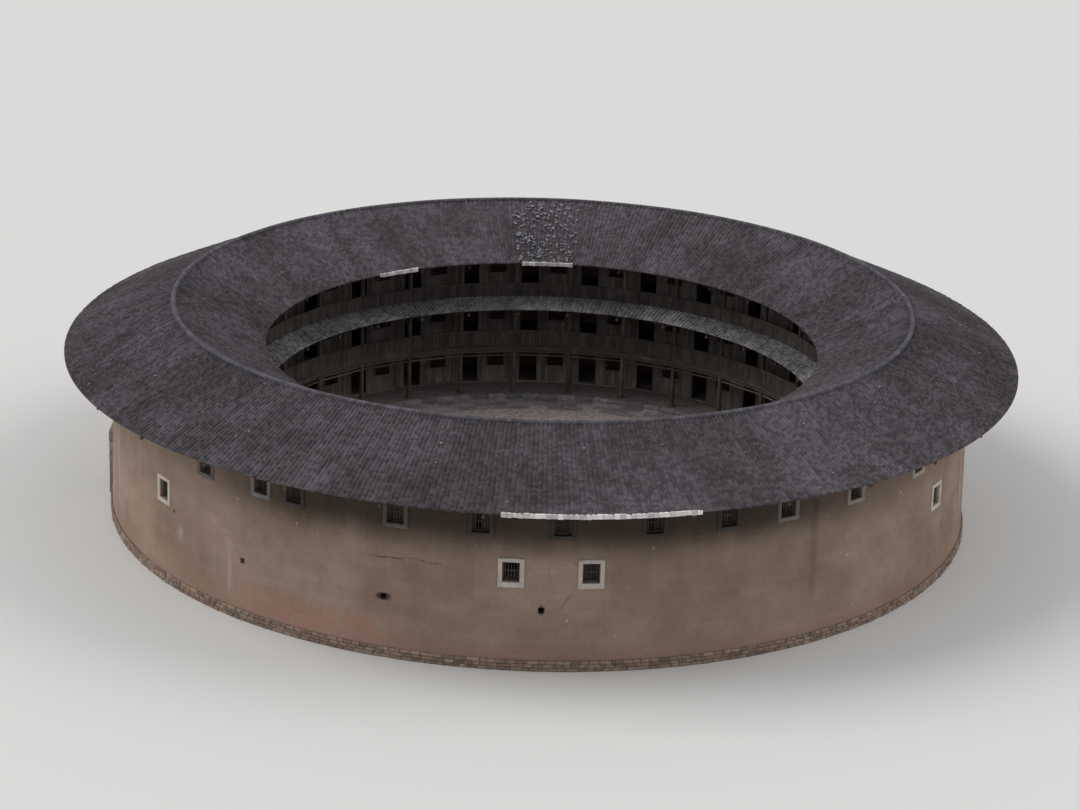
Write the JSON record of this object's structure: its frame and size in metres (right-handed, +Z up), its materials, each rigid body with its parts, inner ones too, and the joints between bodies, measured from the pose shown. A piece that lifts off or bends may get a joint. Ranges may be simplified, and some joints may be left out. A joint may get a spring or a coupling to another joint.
{
  "type": "round earth house, 1:2 scale model",
  "caption": "Round rammed-earth house with a tiled ring roof, timber galleries round an open court, plastered windows and one stone gate, as a half-size model.",
  "frame": {"origin": "on the ground in the middle of the round court", "axes": "+Z up; -Y towards the side that the picture shows; the gate is on the -X side"},
  "size_m": [23.4, 23.4, 5.295],
  "materials": {
    "rammed_earth": "matt rammed earth, tan brown, with stains",
    "footing_stone": "rough field stone",
    "paving": "worn grey paving",
    "roof_tile": "matt dark grey clay tile",
    "ridge_tile": "matt light grey clay tile in lime",
    "timber": "weathered brown timber",
    "dark_timber": "dark weathered boards"
  },
  "bodies": {
    "root": {"stone_footing_front": "footing_stone", "stone_footing_back": "footing_stone", "outer_wall_front_1": "rammed_earth", "outer_wall_front_2": "rammed_earth", "outer_wall_front_right": "rammed_earth", "outer_wall_right_1": "rammed_earth", "outer_wall_right_2": "rammed_earth", "outer_wall_right_3": "rammed_earth", "outer_wall_back_right": "rammed_earth", "outer_wall_back": "rammed_earth", "outer_wall_back_left": "rammed_earth", "outer_wall_behind_gate": "rammed_earth", "outer_wall_over_gate": "rammed_earth", "outer_wall_before_gate": "rammed_earth", "outer_wall_front_left": "rammed_earth", "gate_stone_frame": "footing_stone", "gate_leaf_right": "dark_timber", "gate_leaf_left": "dark_timber", "veranda_kerb": "footing_stone", "ground_floor": "paving", "courtyard_floor": "paving", "second_floor_deck": "timber", "third_floor_deck": "timber", "gallery_frame_ground": "timber", "gallery_frame_second": "timber", "gallery_frame_third": "timber", "balustrade_second": "dark_timber", "balustrade_third": "dark_timber", "room_front_ground": "timber", "room_front_second": "timber", "room_front_third": "timber", "outer_eave_frame": "timber", "outer_roof_front_1": "roof_tile", "outer_roof_front_2": "roof_tile", "outer_roof_right": "roof_tile", "outer_roof_back_1": "roof_tile", "outer_roof_back_2": "roof_tile", "outer_roof_left": "roof_tile", "inner_roof_front": "roof_tile", "inner_roof_right": "roof_tile", "inner_roof_back": "roof_tile", "inner_roof_left": "roof_tile", "skirt_roof": "roof_tile", "roof_ridge": "ridge_tile"}
  },
  "joints": []
}
